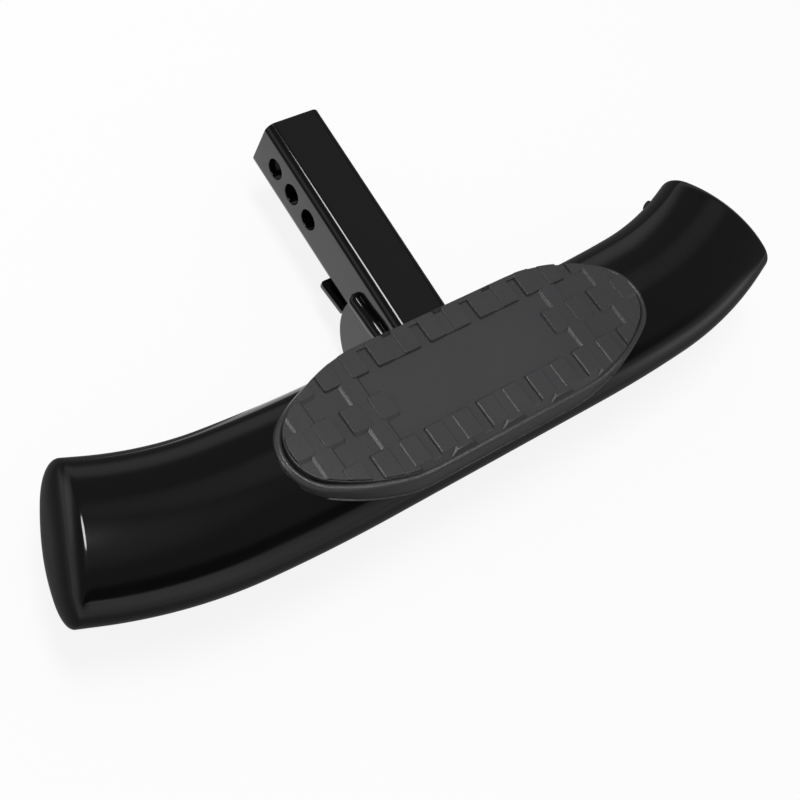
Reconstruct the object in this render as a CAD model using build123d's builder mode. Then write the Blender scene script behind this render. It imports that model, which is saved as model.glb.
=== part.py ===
from build123d import *
import math
import os

os.makedirs("parts", exist_ok=True)

# Frame: +X along the step to its right end, +Y along the shank towards the vehicle, +Z up.
# The origin is the centre of the middle hitch pin hole, on the shank's axis. Millimetres.

# Shank: square tube for a 50.8 mm receiver, with a row of hitch pin holes
SHANK = 50.8
SHANK_WALL = 6.35
SHANK_CORNER = 7.8
SHANK_END_Y = 50.8
PIN_HOLE_R = 8.7
PIN_HOLE_PITCH = 25.0
PIN_HOLES = 3

# Step tube: an oval of four arcs, straight in the middle and swept to the vehicle at both ends
OVAL_W = 115.2
OVAL_H = 66.0
OVAL_END_R = 23.5
TUBE_WALL = 2.5
TUBE_Y, TUBE_Z = -206.2, 9.3
STRAIGHT = 106.2
EASE_R = 1430.0
EASE_ARC = 3.95
BEND_R = 342.6
BEND_ARC = 17.16
TAIL = 14.35

# End caps: shallow domes on a slanted cut. Each step is a rise above the cut and how far it is drawn in
CUT_TILT = 9.1
DOME_STEPS = ((0, 0), (3.0, 2.0), (6.8, 6.3), (10.2, 13.0), (12.3, 21.0))
POCKET_DEPTH, POCKET_INSET = 6.5, 9.0

# Side gussets: round plates under a flat top edge, and the tab under the shank
GUSSET_T = 6.35
GUSSET_R = 52.0
GUSSET_Y, GUSSET_Z = TUBE_Y + 55.8, -13.5
GUSSET_TOP_Z = -3.2
GUSSET_TOP_RISE = 5.9
TAB_T = 4.5
TAB_HALF_W = 29.4
TAB_NECK_HALF_W = 25.2
TAB_FROM_Y, TAB_BEND_Y, TAB_END_Y = TUBE_Y + 76.0, TUBE_Y + 108.5, TUBE_Y + 140.5
TAB_DROOP = 8.0

# Weld beads
BEAD_R = 6.2
SEAM_R = 4.5

# Tread pad, clocked a few degrees round the crown of the tube
PAD_TILT = 6.16
PAD_Y, PAD_Z = TUBE_Y + 9.55, 48.95
PAD_HALF_L, PAD_HALF_W, PAD_FLAT, PAD_TIP_R = 167.0, 53.5, 70.0, 34.0
LIP_HALF_L, LIP_HALF_W, LIP_TIP_R = 174.5, 56.3, 38.0
PAD_SHIFT = -2.4
LIP_SHIFT = -4.0
LIP_T = 3.0
PAD_WALL = 4.0
PAD_TOP_T = 3.5
SKIRT = 30.5
SHANK_NOTCH = 6.0

# Tread: three rows of blocks, cross bars between every other pair, a plain panel in the middle
BLOCK_W, BLOCK_D, BLOCK_H = 15.4, 21.5, 2.6
BLOCK_CORNER = 1.6
BLOCK_TAPER = 14.0
BLOCK_PITCH, ROW_PITCH = 24.35, 39.24
BLOCKS = 14
BAR_H, BAR_SINK = 1.8, 5.0
BAR_TOP_W, BAR_FLANK = 14.9, 1.6
PANEL_HALF_D = 28.4
RAIL_V, RAIL_HALF_L = 46.5, 85.0
NOSE_V, NOSE_ANGLE = -52.4, 52.0
BAR_NOSE_V, BAR_NOSE_ANGLE = -53.9, 72.0
TREAD_INSET = 0.6

# Vent plugs on the vehicle side of the tube, near its ends
PLUG_ARC, PLUG_DROP = 14.9, 15.0
PLUG_HEAD_R, PLUG_HEAD_H, PLUG_NECK_R, PLUG_LENGTH = 5.0, 2.6, 3.9, 7.0


def flat_dir(angle):
    """Unit vector in plan, at an angle from +X."""
    return Vector(math.cos(math.radians(angle)), math.sin(math.radians(angle)), 0)


# Stations along the tube's right half: each is a plane across the tube, its x axis to the vehicle
ease_plane = Plane((STRAIGHT, TUBE_Y, TUBE_Z), x_dir=(0, 1, 0), z_dir=(1, 0, 0))
ease_axis = Axis(ease_plane.origin + ease_plane.x_dir * EASE_R, (0, 0, 1))
bend_plane = Plane(
    ease_axis.position - flat_dir(90 + EASE_ARC) * EASE_R,
    x_dir=flat_dir(90 + EASE_ARC),
    z_dir=flat_dir(EASE_ARC),
)
bend_axis = Axis(bend_plane.origin + bend_plane.x_dir * BEND_R, (0, 0, 1))


def bend_station(arc):
    """Plane across the tube at an arc into the end bend."""
    heading = EASE_ARC + arc
    return Plane(
        bend_axis.position - flat_dir(90 + heading) * BEND_R,
        x_dir=flat_dir(90 + heading),
        z_dir=flat_dir(heading),
    )


tail_plane = bend_station(BEND_ARC)
end_plane = tail_plane.offset(TAIL)
cut_normal = end_plane.z_dir + Vector(0, 0, 1) * math.tan(math.radians(CUT_TILT))
cut_plane = Plane(end_plane.origin, x_dir=end_plane.x_dir, z_dir=cut_normal)


def oval(inset, height=OVAL_H):
    """The tube's oval, set in from the outer surface."""
    half_w, half_h, end_r = OVAL_W / 2 - inset, height / 2 - inset, OVAL_END_R - inset
    reach = half_w - end_r
    crown_r = (reach**2 + half_h**2 - end_r**2) / (2 * (half_h - end_r))
    end_angle = math.degrees(math.atan2(crown_r - half_h, reach))
    with BuildSketch() as face:
        with BuildLine():
            CenterArc((reach, 0), end_r, -end_angle, 2 * end_angle)
            CenterArc((0, half_h - crown_r), crown_r, end_angle, 180 - 2 * end_angle)
            CenterArc((-reach, 0), end_r, 180 - end_angle, 2 * end_angle)
            CenterArc((0, crown_r - half_h), crown_r, 180 + end_angle, 180 - 2 * end_angle)
        make_face()
    return face.sketch


def tube_run(inset):
    """Solid run of the oval from end to end, cut on the slant at both ends."""
    section = oval(inset)
    with BuildPart() as run:
        with BuildSketch(Plane((0, TUBE_Y, TUBE_Z), x_dir=(0, 1, 0), z_dir=(1, 0, 0))):
            add(section)
        extrude(amount=STRAIGHT)
        with BuildSketch(ease_plane):
            add(section)
        revolve(axis=ease_axis, revolution_arc=EASE_ARC)
        with BuildSketch(bend_plane):
            add(section)
        revolve(axis=bend_axis, revolution_arc=BEND_ARC)
        with BuildSketch(tail_plane):
            add(section)
        extrude(amount=2 * TAIL)
        split(bisect_by=cut_plane, keep=Keep.BOTTOM)
        mirror(about=Plane.YZ)
    return run.part


tube_form = tube_run(0)
tube_bore = tube_run(TUBE_WALL)

# Vent plug plane: on the outside of the tube, facing the vehicle and a little down
plug_station = bend_station(PLUG_ARC)
plug_drop = math.radians(PLUG_DROP)
plug_out = plug_station.x_dir * math.cos(plug_drop) - Vector(0, 0, 1) * math.sin(plug_drop)
plug_plane = Plane(
    plug_station.origin + plug_station.x_dir * (OVAL_W / 2 - OVAL_END_R) + plug_out * OVAL_END_R,
    x_dir=plug_station.z_dir,
    z_dir=plug_out,
)

with BuildPart() as step_tube:
    add(tube_form)
    add(tube_bore, mode=Mode.SUBTRACT)
    with BuildSketch(plug_plane.offset(-4 * TUBE_WALL)):
        Circle(PLUG_NECK_R)
    vent = extrude(amount=5 * TUBE_WALL, mode=Mode.SUBTRACT)
    mirror(vent, about=Plane.YZ, mode=Mode.SUBTRACT)

with BuildPart() as vent_plugs:
    with BuildSketch(plug_plane.offset(-PLUG_LENGTH)):
        Circle(PLUG_NECK_R)
    extrude(amount=PLUG_LENGTH + PLUG_HEAD_H / 2)
    with BuildSketch(plug_plane):
        Circle(PLUG_HEAD_R)
    extrude(amount=PLUG_HEAD_H)
    chamfer(vent_plugs.faces().sort_by(Axis((0, 0, 0), plug_plane.z_dir))[-1].edges(), 1.3, 2.0)
    add(step_tube.part, mode=Mode.SUBTRACT)
    mirror(about=Plane.YZ)

# End caps: the oval as the slant cuts it, drawn in step by step to a dome, and hollow behind
cut_height = OVAL_H / math.cos(math.radians(CUT_TILT))

with BuildPart() as right_end_cap:
    for (low, wide), (high, narrow) in zip(DOME_STEPS, DOME_STEPS[1:]):
        with BuildSketch(cut_plane.offset(low)):
            add(oval(wide, cut_height))
        extrude(amount=high - low, taper=math.degrees(math.atan2(narrow - wide, high - low)))
    with BuildSketch(cut_plane):
        add(oval(POCKET_INSET, cut_height))
    extrude(amount=POCKET_DEPTH, mode=Mode.SUBTRACT)

with BuildPart() as left_end_cap:
    add(right_end_cap.part)
    mirror(about=Plane.YZ, mode=Mode.REPLACE)

shank_root_y = TUBE_Y + OVAL_W / 2 - OVAL_END_R

with BuildPart() as receiver_shank:
    with BuildSketch(Plane.XZ.offset(-SHANK_END_Y)):
        RectangleRounded(SHANK, SHANK, SHANK_CORNER)
        inner = SHANK - 2 * SHANK_WALL
        RectangleRounded(inner, inner, SHANK_CORNER - SHANK_WALL + 1.0, mode=Mode.SUBTRACT)
    extrude(amount=SHANK_END_Y - shank_root_y)
    with BuildSketch(Plane.YZ):
        with GridLocations(PIN_HOLE_PITCH, 0, PIN_HOLES, 1):
            Circle(PIN_HOLE_R)
    extrude(amount=SHANK, both=True, mode=Mode.SUBTRACT)
    add(tube_form, mode=Mode.SUBTRACT)

# Gusset plates stand against the shank's sides and saddle the tube's underside
rise = math.tan(math.radians(GUSSET_TOP_RISE))
gusset_rear_y = GUSSET_Y + math.sqrt(GUSSET_R**2 - (GUSSET_TOP_Z - GUSSET_Z) ** 2)
gusset_front_y = GUSSET_Y - GUSSET_R
gusset_front_z = GUSSET_TOP_Z + rise * (gusset_rear_y - gusset_front_y)

with BuildPart() as right_gusset:
    with BuildSketch(Plane.YZ.offset(SHANK / 2)):
        with Locations((GUSSET_Y, GUSSET_Z)):
            Circle(GUSSET_R)
        with BuildLine():
            Polyline(
                (gusset_rear_y, GUSSET_TOP_Z),
                (gusset_front_y, gusset_front_z),
                (gusset_front_y, 2 * GUSSET_R),
                (gusset_rear_y + GUSSET_R, 2 * GUSSET_R),
                (gusset_rear_y + GUSSET_R, GUSSET_TOP_Z),
                close=True,
            )
        make_face(mode=Mode.SUBTRACT)
    extrude(amount=GUSSET_T)
    add(tube_form, mode=Mode.SUBTRACT)

with BuildPart() as left_gusset:
    add(right_gusset.part)
    mirror(about=Plane.YZ, mode=Mode.REPLACE)

with BuildPart() as shank_tab:
    under = -SHANK / 2
    drop = (TAB_END_Y - TAB_BEND_Y) * math.tan(math.radians(TAB_DROOP))
    with BuildSketch(Plane.YZ) as tab_side:
        with BuildLine():
            Polyline(
                (TAB_FROM_Y, under),
                (TAB_BEND_Y, under),
                (TAB_END_Y, under - drop),
                (TAB_END_Y, under - drop - TAB_T),
                (TAB_BEND_Y, under - TAB_T),
                (TAB_FROM_Y, under - TAB_T),
                close=True,
            )
        make_face()
    extrude(amount=TAB_HALF_W, both=True)
    tail = TAB_BEND_Y - TAB_FROM_Y
    with BuildSketch(Plane.XY.offset(under - 2 * TAB_T)):
        with Locations((0, TAB_FROM_Y + tail / 2)):
            Rectangle(3 * TAB_HALF_W, tail)
            Rectangle(2 * TAB_NECK_HALF_W, tail, mode=Mode.SUBTRACT)
    extrude(amount=3 * TAB_T, mode=Mode.SUBTRACT)
    fillet(shank_tab.edges().filter_by(Axis.Z).group_by(Axis.Y)[-1], 4.0)

# Weld beads: one on each gusset's top edge and rear corner, and the seams round the shank's root
seam_y = shank_root_y + math.sqrt(OVAL_END_R**2 - (SHANK / 2 - TUBE_Z) ** 2)
top_dir = Vector(0, -1, rise).normalized()

with BuildPart() as gusset_beads:
    start = Vector(SHANK / 2, gusset_rear_y - BEAD_R / 3, GUSSET_TOP_Z + rise * BEAD_R / 3)
    with BuildSketch(Plane(start, x_dir=(1, 0, 0), z_dir=top_dir)):
        Circle(BEAD_R)
    extrude(amount=gusset_rear_y - shank_root_y)
    extrude(gusset_beads.faces().sort_by(Axis.Y)[-1], amount=BEAD_R / 2, taper=30)
    for solid in (right_gusset.part, receiver_shank.part, tube_form):
        add(solid, mode=Mode.SUBTRACT)
    with BuildSketch(Plane.XZ):
        Rectangle(SHANK, SHANK)
    extrude(amount=-TUBE_Y, mode=Mode.SUBTRACT)
    mirror(about=Plane.YZ)

with BuildPart() as root_seam:
    with BuildSketch(Plane.YZ.offset(-SHANK / 2 + SHANK_CORNER)):
        with Locations((seam_y, SHANK / 2)):
            Circle(SEAM_R)
    extrude(amount=SHANK - 2 * SHANK_CORNER)
    for solid in (receiver_shank.part, tube_form):
        add(solid, mode=Mode.SUBTRACT)

# Pad planes: across the pad's top, and its side view with x to the vehicle and y up
tilt = math.radians(PAD_TILT)
pad_up = Vector(0, math.sin(tilt), math.cos(tilt))
pad_plane = Plane((0, PAD_Y, PAD_Z), x_dir=(1, 0, 0), z_dir=pad_up)
pad_side = Plane(pad_plane.origin, x_dir=pad_plane.y_dir, z_dir=(1, 0, 0))


def long_oval(half_l, half_w, tip_r, shift):
    """The pad's plan: straight sides drawn in by large arcs to round tips."""
    tip_x = half_l - tip_r
    run = tip_x - PAD_FLAT
    side_r = (run**2 + half_w**2 - tip_r**2) / (2 * (half_w - tip_r))
    turn = math.degrees(math.atan2(run, side_r - half_w))
    with BuildSketch() as face:
        with BuildLine():
            flat = Line((0, half_w), (PAD_FLAT, half_w))
            side = JernArc(flat @ 1, flat % 1, side_r, -turn)
            JernArc(side @ 1, side % 1, tip_r, turn - 90)
            mirror(about=Plane.XZ)
            mirror(about=Plane.YZ)
        make_face()
    return Pos(0, shift) * face.sketch


def nose(v, level, angle):
    """What a sloped front edge takes off, through a line across the pad at a level."""
    reach, over = 20.0, 2 * BLOCK_H
    slope = math.tan(math.radians(angle))
    with BuildPart() as wedge:
        with BuildSketch(pad_side):
            with BuildLine():
                Polyline(
                    (v + over / slope, level + over),
                    (v - reach, level - reach * slope),
                    (v - reach, level + over),
                    close=True,
                )
            make_face()
        extrude(amount=PAD_HALF_L, both=True)
    return wedge.part


field_level = -BLOCK_H
bar_level = BAR_H - BLOCK_H
field_plan = long_oval(PAD_HALF_L, PAD_HALF_W, PAD_TIP_R, PAD_SHIFT)
tread_plan = offset(field_plan, -TREAD_INSET, mode=Mode.PRIVATE)
under_plan = offset(field_plan, -PAD_WALL, mode=Mode.PRIVATE)
lip_plan = long_oval(LIP_HALF_L, LIP_HALF_W, LIP_TIP_R, LIP_SHIFT)
lip_form = tube_run(-LIP_T)

with BuildPart() as pad_lip:
    with BuildSketch(pad_plane.offset(-SKIRT)):
        add(lip_plan)
    extrude(amount=SKIRT)
    add(lip_form, mode=Mode.INTERSECT)

with BuildPart() as tread_bars:
    foot_level = field_level - BAR_SINK
    foot_w = BAR_TOP_W / 2 + BAR_FLANK * (BAR_H + BAR_SINK) / BAR_H
    for n in range(-3, 4):
        x = 2 * n * BLOCK_PITCH
        runs = [(-60, 60)] if abs(n) > 1 else [(-60, -PANEL_HALF_D), (PANEL_HALF_D, 60)]
        for v_from, v_to in runs:
            across = Plane(pad_plane.from_local_coords((x, v_from, 0)), (1, 0, 0), -pad_plane.y_dir)
            with BuildSketch(across):
                with BuildLine():
                    Polyline(
                        (-foot_w, foot_level),
                        (-BAR_TOP_W / 2, bar_level),
                        (BAR_TOP_W / 2, bar_level),
                        (foot_w, foot_level),
                        close=True,
                    )
                make_face()
            extrude(amount=v_from - v_to)
    with BuildSketch(pad_plane.offset(foot_level)):
        with Locations((0, RAIL_V + BLOCK_W / 2)):
            Rectangle(2 * RAIL_HALF_L, BLOCK_W)
    extrude(amount=BAR_H + BAR_SINK)
    add(nose(BAR_NOSE_V, bar_level, BAR_NOSE_ANGLE), mode=Mode.SUBTRACT)

with BuildPart() as tread_blocks:
    full, ends = range(1, BLOCKS - 1), (0, 1, 2, 3, 10, 11, 12, 13)
    spots = [
        ((k - (BLOCKS - 1) / 2) * BLOCK_PITCH, row * ROW_PITCH)
        for row, columns in ((-1, full), (0, ends), (1, full))
        for k in columns
    ]
    sunk = BLOCK_H + 1.0
    spread = 2 * sunk * math.tan(math.radians(BLOCK_TAPER))
    with BuildSketch(pad_plane.offset(-sunk)) as block_feet:
        with Locations(spots):
            Rectangle(BLOCK_W + spread, BLOCK_D + spread)
        chamfer(block_feet.vertices(), BLOCK_CORNER + spread / 2)
        with Locations([(x, v - BLOCK_D / 2) for x, v in spots if v < 0]):
            Rectangle(BLOCK_W + spread, BLOCK_D / 2)
    extrude(amount=sunk, taper=BLOCK_TAPER)
    add(nose(NOSE_V, field_level, NOSE_ANGLE), mode=Mode.SUBTRACT)

with BuildPart() as pad_tread:
    add(tread_bars.part)
    add(tread_blocks.part)
    with BuildSketch(pad_plane.offset(foot_level)):
        add(tread_plan)
    extrude(amount=2 * BLOCK_H - foot_level, mode=Mode.INTERSECT)

with BuildPart() as step_pad:
    with BuildSketch(pad_plane.offset(-SKIRT)):
        add(field_plan)
    extrude(amount=SKIRT - BLOCK_H)
    add(nose(NOSE_V, field_level, NOSE_ANGLE), mode=Mode.SUBTRACT)
    add(pad_tread.part)
    add(pad_lip.part)
    with BuildSketch(pad_plane.offset(-SKIRT)):
        add(under_plan)
    extrude(amount=SKIRT - BLOCK_H - PAD_TOP_T, mode=Mode.SUBTRACT)
    add(tube_form, mode=Mode.SUBTRACT)
    with BuildSketch(Plane.XY.offset(SHANK / 2 + SHANK_NOTCH)):
        with Locations((0, TUBE_Y + OVAL_W / 2)):
            Rectangle(SHANK + 2 * SHANK_NOTCH, OVAL_END_R)
    extrude(amount=-SHANK, mode=Mode.SUBTRACT)

pieces = {
    "receiver_shank": receiver_shank,
    "step_tube": step_tube,
    "left_end_cap": left_end_cap,
    "right_end_cap": right_end_cap,
    "left_gusset": left_gusset,
    "right_gusset": right_gusset,
    "shank_tab": shank_tab,
    "gusset_beads": gusset_beads,
    "root_seam": root_seam,
    "step_pad": step_pad,
    "vent_plugs": vent_plugs,
}
for name, piece in pieces.items():
    piece.part.label = name
    export_step(piece.part, f"parts/{name}.step")
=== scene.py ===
"""Hitch receiver step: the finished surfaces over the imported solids, with floor, light and camera."""
import logging
import math
from dataclasses import dataclass, field
from enum import Enum
from typing import Iterable, Sequence

import bmesh
import bpy
from bmesh.types import BMEdge, BMesh, BMVert
from bpy.types import Material, NodeSocket, Object
from mathutils import Matrix, Vector, noise
from mathutils.bvhtree import BVHTree


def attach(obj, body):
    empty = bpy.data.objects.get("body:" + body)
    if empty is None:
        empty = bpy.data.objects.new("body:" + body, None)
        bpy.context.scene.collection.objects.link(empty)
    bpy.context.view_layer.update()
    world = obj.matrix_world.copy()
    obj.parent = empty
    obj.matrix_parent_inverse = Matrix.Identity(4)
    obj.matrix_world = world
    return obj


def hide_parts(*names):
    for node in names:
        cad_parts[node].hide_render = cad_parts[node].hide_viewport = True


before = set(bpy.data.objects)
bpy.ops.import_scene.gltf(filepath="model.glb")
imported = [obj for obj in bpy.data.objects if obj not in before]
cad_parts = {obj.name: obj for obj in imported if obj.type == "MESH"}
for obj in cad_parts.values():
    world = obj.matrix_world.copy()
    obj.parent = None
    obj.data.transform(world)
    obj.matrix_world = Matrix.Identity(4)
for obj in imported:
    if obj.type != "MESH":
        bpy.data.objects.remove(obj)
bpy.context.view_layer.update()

LOG = logging.getLogger("hitch_step")
MM = 0.001
NEAR = 1e-6
UP = Vector((0, 0, 1))
DOWN = Vector((0, 0, -1))

Plan = tuple[float, float, float, float]
Plane = tuple[Vector, Vector]


class Slot(Enum):
    """Finish slots of the record."""

    POWDER_COAT = "powder_coat"
    TREAD = "tread_plastic"
    RUBBER = "plug_rubber"


class Side(Enum):
    """The two sides of the shank, as a sign on X."""

    LEFT = -1
    RIGHT = 1


class RimPart(Enum):
    """The parts of the pad's rim, from the field outwards."""

    GROOVE = "groove"
    ROLL = "roll"
    FOOT = "foot"
    HEM = "hem"


# Mesh helpers


def verts_of(geom: Iterable) -> list[BMVert]:
    """The vertices in an operator's result."""
    return [g for g in geom if isinstance(g, BMVert)]


def edges_of(geom: Iterable) -> list[BMEdge]:
    """The edges in an operator's result."""
    return [g for g in geom if isinstance(g, BMEdge)]


def ends_of(edges: Iterable[BMEdge]) -> list[BMVert]:
    """The vertices of some edges, once each."""
    return list({v for e in edges for v in e.verts})


def all_of(bm: BMesh) -> list:
    """Everything in a mesh."""
    return bm.verts[:] + bm.edges[:] + bm.faces[:]


def face_out(bm: BMesh) -> None:
    """Turns all faces outwards."""
    bmesh.ops.recalc_face_normals(bm, faces=bm.faces[:])


def pull(bm: BMesh, edges: Sequence[BMEdge], by: Vector) -> list[BMEdge]:
    """Extrudes a chain of edges and moves the new chain.

    Args:
        bm: The mesh.
        edges: The chain to extrude.
        by: How far the new chain moves.

    Returns:
        The new chain's edges.
    """
    new = bmesh.ops.extrude_edge_only(bm, edges=list(edges))["geom"]
    bmesh.ops.translate(bm, vec=by, verts=verts_of(new))
    moved = set(verts_of(new))
    return [e for e in edges_of(new) if e.verts[0] in moved and e.verts[1] in moved]


def turn(bm: BMesh, geom: Sequence, centre: Vector, axis: Vector, degrees: float, steps: int) -> list:
    """Spins vertices or edges round an axis.

    Args:
        bm: The mesh.
        geom: What is spun.
        centre: A point on the axis.
        axis: The axis.
        degrees: The angle swept.
        steps: The number of steps.

    Returns:
        The last copy's geometry.
    """
    made = bmesh.ops.spin(
        bm, geom=list(geom), cent=centre, axis=axis, dvec=(0, 0, 0),
        angle=math.radians(degrees), steps=steps, use_merge=False, use_duplicate=False,
    )
    return made["geom_last"]


def mirror_all(bm: BMesh, axis: str) -> None:
    """Mirrors the whole mesh across a plane through the origin and merges the seam."""
    bmesh.ops.mirror(bm, geom=all_of(bm), matrix=Matrix.Identity(4), merge_dist=NEAR, axis=axis)
    bmesh.ops.remove_doubles(bm, verts=bm.verts[:], dist=NEAR)


def cut_off(bm: BMesh, point: Vector, normal: Vector, close: bool) -> list[BMEdge]:
    """Cuts away what lies on the normal's side of a plane.

    Args:
        bm: The mesh.
        point: A point on the plane.
        normal: The side that goes.
        close: Whether the cut is filled.

    Returns:
        The edges along the cut.
    """
    made = bmesh.ops.bisect_plane(
        bm, geom=all_of(bm), dist=NEAR / 10, plane_co=point, plane_no=normal,
        clear_outer=True, clear_inner=False,
    )
    rim = edges_of(made["geom_cut"])
    if close and rim:
        bmesh.ops.holes_fill(bm, edges=rim, sides=0)
    return rim


def soften(bm: BMesh, edges: Sequence[BMEdge], width: float, segments: int) -> None:
    """Rounds edges with a bevel."""
    bmesh.ops.bevel(
        bm, geom=list(edges), offset=width, offset_type="OFFSET", affect="EDGES",
        segments=segments, profile=0.5, material=-1, clamp_overlap=True,
    )


def sharp_edges(bm: BMesh, degrees: float) -> list[BMEdge]:
    """Edges whose two faces turn by more than an angle."""
    limit = math.radians(degrees)
    return [e for e in bm.edges if len(e.link_faces) == 2 and e.calc_face_angle() > limit]


def top_edges(bm: BMesh, degrees: float, level: float) -> list[BMEdge]:
    """Sharp edges beside a face that looks up by more than a level."""
    return [e for e in sharp_edges(bm, degrees) if any(f.normal.z > level for f in e.link_faces)]


def shade(bm: BMesh, degrees: float) -> None:
    """Gives smooth shading, with edges above an angle left sharp.

    Args:
        bm: The mesh.
        degrees: The angle.
    """
    for face in bm.faces:
        face.smooth = True
    for edge in sharp_edges(bm, degrees):
        edge.smooth = False


def joined(parts: Sequence[BMesh]) -> BMesh:
    """Puts several meshes into one.

    Args:
        parts: The meshes; all but the first are freed.

    Returns:
        The first mesh, with the others in it.
    """
    whole = parts[0]
    for part in parts[1:]:
        carrier = bpy.data.meshes.new("carrier")
        part.to_mesh(carrier)
        part.free()
        whole.from_mesh(carrier)
        bpy.data.meshes.remove(carrier)
    return whole


def ease(value: float, low: float, high: float) -> float:
    """A smooth step from 0 to 1."""
    share = min(1.0, max(0.0, (value - low) / (high - low)))
    return share * share * (3 - 2 * share)


def rounded_wire(bm: BMesh, half: Vector, radius: float, steps: int) -> list[BMEdge]:
    """Closed outline of a rounded rectangle in the XY plane, centred on the origin.

    Args:
        bm: An empty mesh.
        half: Half the width and half the height.
        radius: The corner radius.
        steps: The steps of each corner.

    Returns:
        The outline's edges.
    """
    start = bmesh.ops.create_vert(bm, co=(0, half.y, 0))["vert"]
    along = bmesh.ops.extrude_vert_indiv(bm, verts=start)["verts"]
    bmesh.ops.translate(bm, vec=(half.x - radius, 0, 0), verts=along)
    corner = Vector((half.x - radius, half.y - radius, 0))
    last = turn(bm, along, corner, DOWN, 90, steps)
    down = bmesh.ops.extrude_vert_indiv(bm, verts=verts_of(last))["verts"]
    bmesh.ops.translate(bm, vec=(0, radius - half.y, 0), verts=down)
    mirror_all(bm, "X")
    mirror_all(bm, "Y")
    return bm.edges[:]


def piece(
    name: str, bm: BMesh, material: Material, nodes: Sequence[str], flats: bool = True,
) -> Object:
    """Makes a finished mesh into a piece of the object.

    Args:
        name: The piece's name.
        bm: Its mesh, in the object's frame; it is freed.
        material: Its finish.
        nodes: The solids that it stands for.
        flats: Whether flats are kept flat beside rounded edges.

    Returns:
        The new object.
    """
    mesh = bpy.data.meshes.new(name)
    bm.to_mesh(mesh)
    bm.free()
    mesh.materials.append(material)
    made = bpy.data.objects.new(name, mesh)
    bpy.context.scene.collection.objects.link(made)
    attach(made, "root")
    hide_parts(*nodes)
    if flats:
        made.modifiers.new("flats", "WEIGHTED_NORMAL").keep_sharp = True
    LOG.info("%s: %d faces", name, len(mesh.polygons))
    return made


# Finishes


@dataclass(frozen=True)
class Ramp:
    """A smooth change from one result to another, between two values."""

    low: float
    high: float
    start: float = 0.0
    end: float = 1.0


class NodeSheet:
    """A small helper that lays out the nodes of one tree."""

    def __init__(self, tree: bpy.types.NodeTree) -> None:
        """Takes the tree to draw on."""
        self.tree = tree

    def fill(self, node: bpy.types.Node, values: dict) -> None:
        """Sets or links a node's inputs.

        Args:
            node: The node.
            values: Values, or output sockets to link from, by input name or index.
        """
        for key, value in values.items():
            if isinstance(value, NodeSocket):
                self.tree.links.new(value, node.inputs[key])
            else:
                node.inputs[key].default_value = value

    def node(self, kind: str, values: dict | None = None, **settings: object) -> bpy.types.Node:
        """Adds a node.

        Args:
            kind: The node's type.
            values: Values, or output sockets to link from, by input name or index.
            settings: Properties of the node.

        Returns:
            The node.
        """
        made = self.tree.nodes.new(kind)
        for key, value in settings.items():
            setattr(made, key, value)
        self.fill(made, values or {})
        return made

    def math(self, operation: str, first: object, second: object = 0.0) -> NodeSocket:
        """Adds a math node and gives its result."""
        return self.node("ShaderNodeMath", {0: first, 1: second}, operation=operation).outputs[0]

    def chain(self, operation: str, *terms: object) -> NodeSocket:
        """Joins several values by one operation.

        Args:
            operation: ADD or MULTIPLY.
            terms: The values or sockets.

        Returns:
            The result.
        """
        total = terms[0]
        for term in terms[1:]:
            total = self.math(operation, total, term)
        return total

    def step(self, value: NodeSocket, ramp: Ramp) -> NodeSocket:
        """Adds a smooth step along a ramp.

        Args:
            value: What it follows.
            ramp: The ramp.

        Returns:
            The result.
        """
        values = {
            "Value": value, "From Min": ramp.low, "From Max": ramp.high,
            "To Min": ramp.start, "To Max": ramp.end,
        }
        return self.node("ShaderNodeMapRange", values, interpolation_type="SMOOTHSTEP").outputs["Result"]

    def noise(self, place: NodeSocket, scale: object, detail: float) -> NodeSocket:
        """Adds a noise texture and gives its value."""
        values = {"Vector": place, "Scale": scale, "Detail": detail}
        return self.node("ShaderNodeTexNoise", values).outputs["Fac"]

    def white(self, kind: str, strength: object) -> NodeSocket:
        """Adds a white emission or background of some strength."""
        return self.node(kind, {"Color": (1, 1, 1, 1), "Strength": strength}).outputs[0]

    def blend(self, share: NodeSocket, first: NodeSocket, second: NodeSocket) -> NodeSocket:
        """Mixes two shaders."""
        return self.node("ShaderNodeMixShader", {0: share, 1: first, 2: second}).outputs[0]


PATCH_SCALE = 14.0
PATCH_SPAN = (0.3, 0.7)


def grain_group() -> bpy.types.NodeTree:
    """The shared surface grain: a coarse and a fine waviness and a slow patchiness.

    Returns:
        The node group, with Vector, Coarse, Fine and Mix inputs, and Height and Patches outputs.
    """
    name = "surface_grain"
    if name in bpy.data.node_groups:
        return bpy.data.node_groups[name]
    group = bpy.data.node_groups.new(name, "ShaderNodeTree")
    face = group.interface
    face.new_socket("Vector", in_out="INPUT", socket_type="NodeSocketVector")
    for label in ("Coarse", "Fine", "Mix"):
        face.new_socket(label, in_out="INPUT", socket_type="NodeSocketFloat")
    for label in ("Height", "Patches"):
        face.new_socket(label, in_out="OUTPUT", socket_type="NodeSocketFloat")
    sheet = NodeSheet(group)
    given = sheet.node("NodeGroupInput").outputs
    place = given["Vector"]
    coarse = sheet.noise(place, given["Coarse"], 2.0)
    fine = sheet.noise(place, given["Fine"], 1.0)
    patches = sheet.noise(place, PATCH_SCALE, 3.0)
    height = sheet.node("ShaderNodeMix", {0: given["Mix"], 2: coarse, 3: fine}).outputs[0]
    sheet.node("NodeGroupOutput", {"Height": height, "Patches": patches})
    return group


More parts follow.
